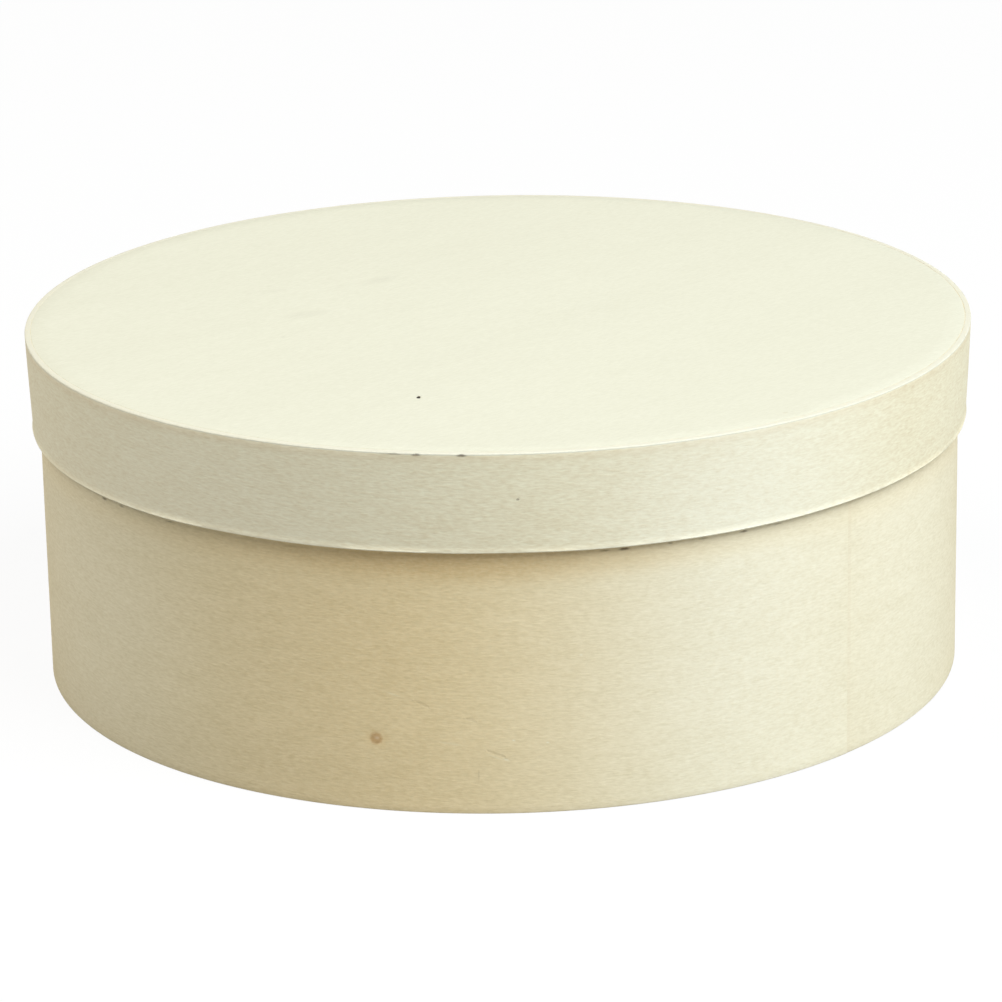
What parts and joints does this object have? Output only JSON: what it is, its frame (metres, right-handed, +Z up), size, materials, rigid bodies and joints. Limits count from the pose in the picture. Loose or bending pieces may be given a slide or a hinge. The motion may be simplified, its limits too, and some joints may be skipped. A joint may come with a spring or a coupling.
{
  "type": "round wooden gift box",
  "caption": "Round bentwood box: a thin band of pale wood bent round an inset plywood floor, with a shallow slip-on lid made the same way.",
  "frame": {"origin": "middle of the underside, on the surface that the box stands on", "axes": "+Z up, along the way the lid lifts; -Y towards the pictured front; +X to its right"},
  "size_m": [0.2, 0.2, 0.075],
  "materials": {
    "band_wood": "bare pale wood, sanded, grain running round the band",
    "face_veneer": "bare pale veneer, sanded smooth",
    "core_ply": "rough plywood core",
    "dried_glue": "dried wood glue, slightly glossy"
  },
  "bodies": {
    "base": {"base_wall_band": "band_wood", "base_under_veneer": "face_veneer", "base_core_ply": "core_ply", "base_floor_veneer": "face_veneer", "base_glue_bead": "dried_glue"},
    "lid": {"lid_rim_band": "band_wood", "lid_inner_veneer": "face_veneer", "lid_core_ply": "core_ply", "lid_top_veneer": "face_veneer", "lid_glue_bead": "dried_glue"}
  },
  "joints": [
    {"name": "lid_lift", "type": "slide", "parent": "base", "child": "lid", "axis": [0, 0, 1], "range_m": [0, 0.1]}
  ]
}
